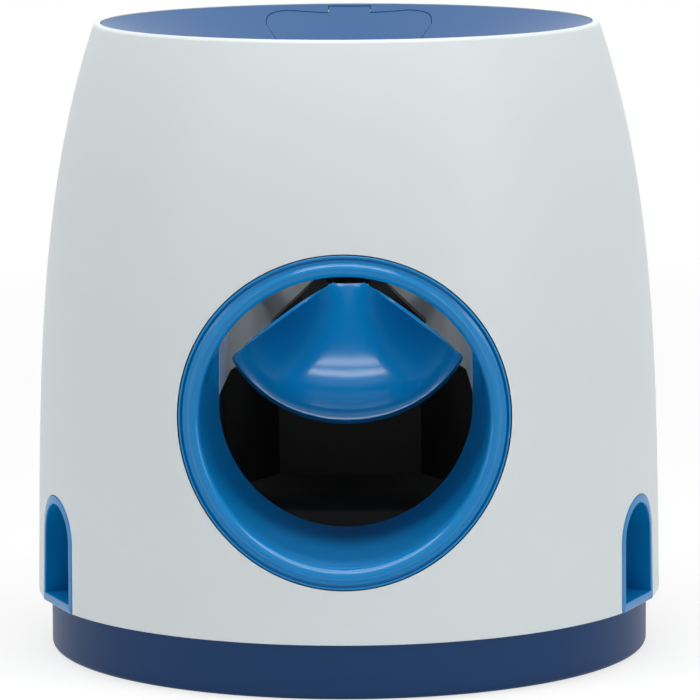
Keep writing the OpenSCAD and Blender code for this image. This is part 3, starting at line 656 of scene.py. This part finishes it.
def make_port_ring():
    # Half section as (radius, depth): a thin lip, a groove, a ledge and the bead round the mouth
    lip_in_r = PORT_R - LIP_W
    ledge_r = lip_in_r - GROOVE_W
    section = [(PORT_R, BEZEL_T), (PORT_R, LIP_FRONT + 0.35), (PORT_R - 0.1, LIP_FRONT + 0.1)]
    section += [(PORT_R - 0.3, LIP_FRONT), (lip_in_r + 0.1, LIP_FRONT + 0.1), (lip_in_r, GROOVE_DEPTH)]
    section += [(ledge_r, GROOVE_DEPTH), (ledge_r - 0.1, LEDGE_FRONT + 0.1), (ledge_r - 0.35, LEDGE_FRONT)]
    offsets = [BEAD_OUT + (BEAD_IN - BEAD_OUT) * i / 22 for i in range(23)]
    section += [(BEAD_MIDDLE_R + o, BEAD_STEEPNESS * abs(o) ** BEAD_POWER) for o in offsets]
    # The bead runs out into the tunnel's mouth
    section += [(TUNNEL_R + 0.38, 2), (TUNNEL_R + 0.22, 2.6), (TUNNEL_R + 0.13, 3.2)]
    section += [(TUNNEL_R + 0.1, RING_FRONT)]
    # Then the tunnel's bore, its rounded inner edge, and its outside back to the bezel
    depths = [RING_FRONT + (RING_DEPTH - RING_FRONT) * i / 16 for i in range(1, 16)]
    section += [(TUNNEL_R - (TUNNEL_R - PORT_HOLE_R) * narrowing(y), y) for y in depths]
    end_middle = (PORT_HOLE_R + TUNNEL_END_ROUND, RING_DEPTH - TUNNEL_END_ROUND)
    section += arc(end_middle, TUNNEL_END_ROUND, 180, 90, 4)
    socket_r = PORT_HOLE_R + TUNNEL_WALL
    section += [(socket_r, RING_DEPTH), (socket_r, RING_DEPTH - SOCKET_DEPTH)]
    section += [(TUNNEL_R + TUNNEL_WALL, BEZEL_T)]
    ring = start_piece("port_ring_bezel")
    draw_line([(r, y, PORT_Z) for r, y in section + section[:1]])
    bpy.ops.mesh.select_all(action="SELECT")
    bpy.ops.mesh.spin(steps=SPIN_STEPS, angle=math.tau, center=(0, 0, PORT_Z * MM), axis=(0, 1, 0))
    close_mesh()
    bpy.ops.object.mode_set(mode="OBJECT")
    for vertex in ring.data.vertices:
        vertex.co = lay_on_casing(*(vertex.co / MM)) * MM
    fit_piece(ring, "casing", "port_ring", "blue_plastic", smooth=50)


# Ball way: a pale shaft above, with a rounded back, and a black chamber below, with a slide that leads out

def socket_cutter():
    """Solid that cuts room for the tunnel's inner end."""
    angles = [math.tau * i / SPIN_STEPS for i in range(SPIN_STEPS)]
    radii = [tunnel_end(a) + TUNNEL_WALL + SOCKET_GAP for a in angles]
    start_y = SHAFT_FRONT_Y - CUT_PAST
    loop = [(r * math.cos(a), start_y, PORT_Z + r * math.sin(a)) for a, r in zip(angles, radii)]
    return slab("socket_cutter", loop, (0, SHAFT_WALL + 2 * CUT_PAST, 0))


def shaft_plan():
    """Outline of the shaft on plan."""
    return both_sides([(SHAFT_X, SHAFT_FRONT_Y), (SHAFT_X, SHAFT_BACK_Y)])


def tab_places(z):
    """Middles of the screw tabs."""
    return [Vector((side * (SHAFT_X + TAB_REACH / 2), y, z)) for side in (-1, 1) for y in TAB_YS]


def tabs(low):
    """Screw tabs on both sides."""
    half = Vector((TAB_REACH / 2 + TAB_BITE, TAB_LEN / 2, TAB_T / 2))
    return [block("tab", place - half, place + half) for place in tab_places(low + TAB_T / 2)]


def make_shaft():
    shaft = prism("ball_shaft_way", shaft_plan(), SEAM_Z, SHAFT_TOP)
    collar_r = THROAT_R + WALL + COLLAR_GAP
    collar_low, collar_top = SHAFT_TOP - COLLAR_BITE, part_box("ball_shaft")[1].z / MM
    collar = turn_piece("collar", [(collar_r, collar_low), (collar_r + SHAFT_WALL, collar_low),
                                   (collar_r + SHAFT_WALL, collar_top), (collar_r, collar_top)], steps=96)
    combine(shaft, collar, "UNION")
    combine(shaft, join("tabs", tabs(SEAM_Z)), "UNION")
    # The way inside it has straight sides in front and a rounded back
    angles = [math.radians(6 * i) for i in range(15)]
    back = [(WAY_X * math.cos(a) ** WAY_POWER, WAY_BACK_Y * math.sin(a) ** WAY_POWER) for a in angles]
    right = [(WAY_FRONT_X, SHAFT_FRONT_Y + SHAFT_WALL)] + back
    plan = right + [(0, WAY_BACK_Y)] + [(-x, y) for x, y in reversed(right)]
    combine(shaft, prism("way_cutter", plan, SEAM_Z - CUT_PAST, SHAFT_TOP - SHAFT_WALL))
    combine(shaft, cylinder("throat_cutter", (0, 0, SHAFT_TOP), THROAT_R, 3 * SHAFT_WALL, vertices=96))
    combine(shaft, cylinder("axle_cutter", (0, AXLE_Y, AXLE_Z), BUSH_R, 3 * SHAFT_X,
                            tilt=(0, math.pi / 2, 0)))
    combine(shaft, socket_cutter())
    combine(shaft, join("screw_holes", [cylinder("hole", p, SCREW_R, 3 * TAB_T, vertices=24)
                                        for p in tab_places(SEAM_Z)]))
    fit_piece(shaft, "casing", "ball_shaft", "shell_plastic", smooth=20)


def make_chamber():
    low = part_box("ball_chamber")[0].z / MM
    outside = [(SHAFT_X, SHAFT_FRONT_Y), (SHAFT_X, BAY_SHOULDER_Y), (PANEL_X + PANEL_SIDE_WALL, SHAFT_BACK_Y)]
    chamber = prism("ball_chamber_bay", both_sides(outside), low, SEAM_Z)
    combine(chamber, prism("rim", shaft_plan(), SEAM_Z - SHAFT_WALL, SEAM_Z), "UNION")
    bosses = [cylinder("boss", p, BOSS_R, BOSS_H, vertices=32) for p in tab_places(SEAM_Z - BOSS_H / 2)]
    combine(chamber, join("bosses", bosses), "UNION")
    combine(chamber, join("tabs", tabs(SEAM_Z - TAB_T)), "UNION")
    front_y = SHAFT_FRONT_Y + SHAFT_WALL
    inside = [(BAY_X, front_y), (BAY_X, 0), BAY_BEND, (PANEL_X, WAY_BACK_Y)]
    combine(chamber, prism("bay_cutter", both_sides(inside), low - CUT_PAST, SEAM_Z + CUT_PAST))
    # Floor that slopes to the port and runs a little way into the walls
    back_y = WAY_BACK_Y + SLIDE_BITE
    profile = [(front_y, SLIDE_FRONT_Z), (back_y, SLIDE_BACK_Z)]
    profile += [(y, z - WALL) for y, z in reversed(profile)]
    slide = slab("slide", [(-SHAFT_X, y, z) for y, z in profile], (2 * SHAFT_X, 0, 0))
    blank = [(x + SLIDE_BITE, y) for x, y in inside[:3]] + [(PANEL_X + SLIDE_BITE, back_y)]
    combine(slide, prism("slide_blank", both_sides(blank), low, SEAM_Z), "INTERSECT")
    combine(chamber, slide, "UNION")
    combine(chamber, socket_cutter())
    # The chamber's black is partly painted shade: it darkens the port below the scoop, where the shade falls
    fit_piece(chamber, "casing", "ball_chamber", "black_plastic", smooth=30)


# Scoop: a spoon with a steep back, an almost level front and a lip that rolls over

def scoop_rise(u, share):
    """Share of the way up from the scoop's middle line to its edge, at the share u of the way across.

    The section is flat in the middle with rising sides, and at the lip it is a round arc.
    """
    bow = SCOOP_LIP_BOW
    round_rise = (1 - math.sqrt(1 - (bow * u) ** 2)) / (1 - math.sqrt(1 - bow ** 2))
    lip = share ** 3
    power = SCOOP_FLATNESS[0] + (SCOOP_FLATNESS[1] - SCOOP_FLATNESS[0]) * share
    return (1 - lip) * abs(u) ** power + lip * round_rise


def make_scoop():
    edge_points = [Vector(point) for point in SCOOP_EDGE]
    spine_points = [Vector((0, y, z)) for y, z in SCOOP_SPINE]
    spine = [bezier(spine_points, i / 32) for i in range(33)]
    steps = [0] + [(b - a).length for a, b in zip(spine, spine[1:])]
    across = [j / 24 for j in range(-24, 25)]
    scoop = start_piece("ball_paddle_scoop")
    for i, middle in enumerate(spine):
        along = sum(steps[:i + 1]) / sum(steps)
        down = (spine[0].z - middle.z) / (spine[0].z - spine[-1].z)
        # Share of the way to the lip, by length and, twice as much, by drop
        share = (along + 2 * down) / 3
        edge = bezier(edge_points, share)
        line = []
        for u in across:
            place = middle.lerp(edge, scoop_rise(u, share))
            line.append((edge.x * u, place.y, place.z))
        draw_line(line)
    bpy.ops.mesh.select_all(action="SELECT")
    bpy.ops.mesh.bridge_edge_loops()
    close_mesh()
    bpy.ops.object.mode_set(mode="OBJECT")
    # Its faces look up, so that the thickness goes below them
    if sum(face.normal.z for face in scoop.data.polygons) < 0:
        scoop.data.flip_normals()
    pick(scoop)
    smoother = scoop.modifiers.new("smooth", "SUBSURF")
    smoother.levels = 1
    bpy.ops.object.modifier_apply(modifier=smoother.name)
    thicker = scoop.modifiers.new("thicken", "SOLIDIFY")
    thicker.thickness = SCOOP_T * MM
    thicker.offset = -1
    thicker.use_even_offset = True
    bpy.ops.object.modifier_apply(modifier=thicker.name)
    round_edges(scoop, SCOOP_EDGE_ROUND, angle=55)
    fit_piece(scoop, "paddle", "ball_paddle", "blue_plastic", smooth=50)


# Outlets: arched tubes flush with the casing

def make_outlet(side, node):
    outlet = start_piece(node + "_arch")
    for grow in (0, -OUTLET_WALL):
        outline = arch_outline(grow)
        draw_line([outlet_place(side, 0, u, z) for u, z in outline + outline[:1]])
    bpy.ops.mesh.select_all(action="SELECT")
    bpy.ops.mesh.remove_doubles(threshold=MERGE_REACH * MM)
    bpy.ops.mesh.bridge_edge_loops()
    bpy.ops.mesh.select_all(action="SELECT")
    inner_end = outlet_place(side, SHELL_R - OUTLET_DEPTH, 0, 0)
    bpy.ops.mesh.extrude_region_move(TRANSFORM_OT_translate={"value": inner_end * MM})
    close_mesh()
    bpy.ops.object.mode_set(mode="OBJECT")
    # The end that is still at the middle is carried out to the casing's face
    axis = outlet_place(side, 1, 0, 0)
    for vertex in outlet.data.vertices:
        place = vertex.co / MM
        along = place.dot(axis)
        if along < 1:
            across = (place - along * axis).xy.length
            vertex.co += axis * (math.sqrt(shell_radius(place.z) ** 2 - across ** 2) + OUTLET_PROUD) * MM
    pick(outlet)
    bpy.ops.object.mode_set(mode="EDIT")
    close_mesh()
    bpy.ops.object.mode_set(mode="OBJECT")
    round_edges(outlet, OUTLET_EDGE_ROUND, angle=50)
    fit_piece(outlet, "casing", node, "blue_plastic")


# Base: a navy tray with feet, and screws in its underside

def make_base():
    edge_middle = (BASE_R - BASE_EDGE_ROUND, BASE_LOW + BASE_EDGE_ROUND)
    section = [(0, BASE_LOW)] + arc(edge_middle, BASE_EDGE_ROUND, -90, 0, 8)
    section += [(BASE_R, BASE_TOP - BASE_TOP_BEVEL), (BASE_R - BASE_TOP_BEVEL, BASE_TOP)]
    section += [(BASE_R - WALL, BASE_TOP)]
    section += [(BASE_R - WALL, FLOOR_TOP), (0, FLOOR_TOP)]
    base = turn_piece("base_tray_bowl", section)
    for side in (-1, 1):
        combine(base, outlet_cutter(side, OUTLET_BASE_GAP))
    holes = [cylinder("screw_hole", place, SCREW_HOLE_R, 2 * SCREW_HEAD_H)
             for place in casing_screw_places(base_low.z) + chamber_screw_places(base_low.z)]
    holes += [cylinder("foot_hole", place, FOOT_R + FOOT_GAP, 2 * FOOT_TOP) for place in foot_places(0)]
    combine(base, join("holes", holes))
    fit_piece(base, "casing", "base_tray", "navy_plastic")


def foot_places(z):
    return [around(angle, FOOT_RING_R, z) for angle in FOOT_ANGLES]


def casing_screw_places(z):
    return [around(angle, CASING_SCREW_RING_R, z) for angle in CASING_SCREW_ANGLES]


def chamber_screw_places(z):
    return [Vector((side * CHAMBER_SCREW_X, y, z)) for side in (-1, 1) for y in CHAMBER_SCREW_YS]


def make_feet():
    rim_in_r = FOOT_R - FOOT_RIM_W
    edge_middle = (FOOT_R - FOOT_EDGE_ROUND, FOOT_EDGE_ROUND)
    section = [(0, FOOT_HOLLOW), (rim_in_r - FOOT_RIM_SLOPE_W, FOOT_HOLLOW), (rim_in_r, 0)]
    section += arc(edge_middle, FOOT_EDGE_ROUND, -90, 0, 4) + [(FOOT_R, FOOT_TOP), (0, FOOT_TOP)]
    foot = turn_piece("foot", section, steps=64)
    fit_piece(join("rubber_feet_set", copies(foot, foot_places(0))), "casing", "rubber_feet", "rubber")


def make_screws(name, node, places):
    """Pan-head screws with a cross recess, head down."""
    shank_top = (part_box(node)[1].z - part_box(node)[0].z) / MM
    core_r = SCREW_R - THREAD_DEPTH
    # Domed head, then the thread
    section = [(0, 0), (1.2, 0.04), (2.2, 0.3), (2.8, 0.8), (SCREW_HEAD_R, 1.4)]
    section += [(SCREW_HEAD_R, SCREW_HEAD_H), (SCREW_R, SCREW_HEAD_H)]
    turns = int((shank_top - SCREW_HEAD_H - UNTHREADED_H) / THREAD_PITCH)
    for i in range(turns):
        z = SCREW_HEAD_H + SCREW_NECK_H + i * THREAD_PITCH
        section += [(core_r, z), (SCREW_R, z + THREAD_PITCH / 2)]
    section += [(core_r, shank_top - SCREW_POINT_H), (0, shank_top)]
    screw = turn_piece("screw", section, steps=32)
    for half_x, half_y in ((RECESS_REACH, RECESS_HALF_W), (RECESS_HALF_W, RECESS_REACH)):
        half = Vector((half_x, half_y, RECESS_DEPTH))
        combine(screw, block("recess", -half, half))
    fit_piece(join(name, copies(screw, places)), "casing", node, "steel", smooth=30)


make_casing()
make_funnel()
make_lid()
make_port_ring()
make_shaft()
make_chamber()
make_scoop()
make_outlet(-1, "outlet_left")
make_outlet(1, "outlet_right")
make_base()
make_feet()
make_screws("base_screw_set", "base_screws", casing_screw_places(FLOOR_TOP - SCREW_HEAD_H))
make_screws("chamber_screw_set", "chamber_screws", chamber_screw_places(base_low.z))


# Finish of the nodes that stay as they are

# The paddle's arm is among these nodes; its black finish is partly painted shadow beside the scoop's upper
# edges
slot_of = {part["node"]: part["material_slot"] for part in frame["record"]["subparts"]}
for node_name, node in frame["nodes"].items():
    node.data.materials.clear()
    node.data.materials.append(finishes[slot_of[node_name]])


# Floor, light and camera

def light_path_seen(tree):
    """1 where a surface is seen, straight on, mirrored or through another one, and 0 where it only lights."""
    path = add_node(tree, "ShaderNodeLightPath")
    seen = add_node(tree, "ShaderNodeMath", {"operation": "MAXIMUM"},
                    {0: path.outputs["Is Camera Ray"], 1: path.outputs["Is Glossy Ray"]})
    seen = add_node(tree, "ShaderNodeMath", {"operation": "MAXIMUM"},
                    {0: seen.outputs["Value"], 1: path.outputs["Is Transmission Ray"]})
    return seen.outputs["Value"]


def make_floor():
    """White paper that keeps the shadow near the object and fades to plain white further off."""
    clear_selection()
    bpy.ops.mesh.primitive_circle_add(vertices=64, radius=12, fill_type="NGON")
    floor = bpy.context.object
    floor.name = "studio_floor"
    material, tree, place = start_finish("white_paper_sweep")
    distance = add_node(tree, "ShaderNodeVectorMath", {"operation": "LENGTH"}, {0: place})
    fade = add_node(tree, "ShaderNodeMapRange",
                    {"From Min": 0.2, "From Max": 0.9, "To Min": 0.75, "To Max": 1},
                    {"Value": distance.outputs["Value"]})
    share = add_node(tree, "ShaderNodeMath", {"operation": "MULTIPLY"},
                     {0: fade.outputs["Result"], 1: light_path_seen(tree)})
    paper = add_node(tree, "ShaderNodeBsdfDiffuse", {"Color": linear("#f4f4f4")})
    glow = add_node(tree, "ShaderNodeEmission", {"Color": (1, 1, 1, 1), "Strength": 1})
    both = add_node(tree, "ShaderNodeMixShader",
                    links={0: share.outputs["Value"], 1: paper.outputs["BSDF"], 2: glow.outputs["Emission"]})
    add_node(tree, "ShaderNodeOutputMaterial", links={"Surface": both.outputs["Shader"]})
    floor.data.materials.append(material)


def make_world():
    """A white studio that shows at full strength and lights at a plain level."""
    world = bpy.data.worlds.new("white_studio")
    bpy.context.scene.world = world
    world.use_nodes = True
    tree = world.node_tree
    tree.nodes.clear()
    strength = add_node(tree, "ShaderNodeMapRange", {"To Min": 0.2, "To Max": 1.0},
                        {"Value": light_path_seen(tree)})
    light = add_node(tree, "ShaderNodeBackground", {"Color": (1, 1, 1, 1)},
                     {"Strength": strength.outputs["Result"]})
    add_node(tree, "ShaderNodeOutputWorld", links={"Surface": light.outputs["Background"]})


def make_softbox(name, azimuth, height, distance, size, power):
    """A soft rectangular lamp that faces the middle of the object."""
    data = bpy.data.lights.new(name, "AREA")
    data.shape = "RECTANGLE"
    data.size, data.size_y = size
    data.energy = power
    lamp = bpy.data.objects.new(name, data)
    bpy.context.scene.collection.objects.link(lamp)
    turn = math.radians(azimuth)
    lamp.location = (distance * math.sin(turn), -distance * math.cos(turn), height)
    aim = Vector((0, 0, SHELL_TOP / 2 * MM)) - lamp.location
    lamp.rotation_euler = aim.to_track_quat("-Z", "Y").to_euler()


def make_camera():
    """A long lens a little above the casing, slightly to the right of its front and not quite level.

    Distance and height are in metres, and the shift is in pixels of the photograph's width.
    """
    distance, height = 1.3486, 0.2747
    shift, photo_width = 2, 700
    turn, pitch, roll = (math.radians(angle) for angle in (0.8, 8.112, -0.28))
    data = bpy.data.cameras.new("photo_camera")
    data.sensor_width = 36
    data.lens = 249.63
    data.shift_x = shift / photo_width
    data.clip_end = 50
    camera = bpy.data.objects.new("photo_camera", data)
    bpy.context.scene.collection.objects.link(camera)
    camera.location = (distance * math.sin(turn), -distance * math.cos(turn), height)
    level = Euler((math.pi / 2 - pitch, 0, turn)).to_matrix()
    camera.rotation_euler = (level @ Matrix.Rotation(roll, 3, "Z")).to_euler()
    bpy.context.scene.camera = camera


make_floor()
make_world()
make_softbox("left_softbox", azimuth=-55, height=0.42, distance=1.3, size=(0.2, 0.8), power=1.6)
make_softbox("right_softbox", azimuth=55, height=0.42, distance=1.3, size=(0.2, 0.8), power=3)
make_softbox("front_softbox", azimuth=0, height=1.4, distance=0.42, size=(1.5, 0.22), power=11)
make_softbox("top_softbox", azimuth=0, height=1.4, distance=0.03, size=(1.3, 0.26), power=10.5)
make_camera()
bpy.context.scene.view_settings.view_transform = "Standard"
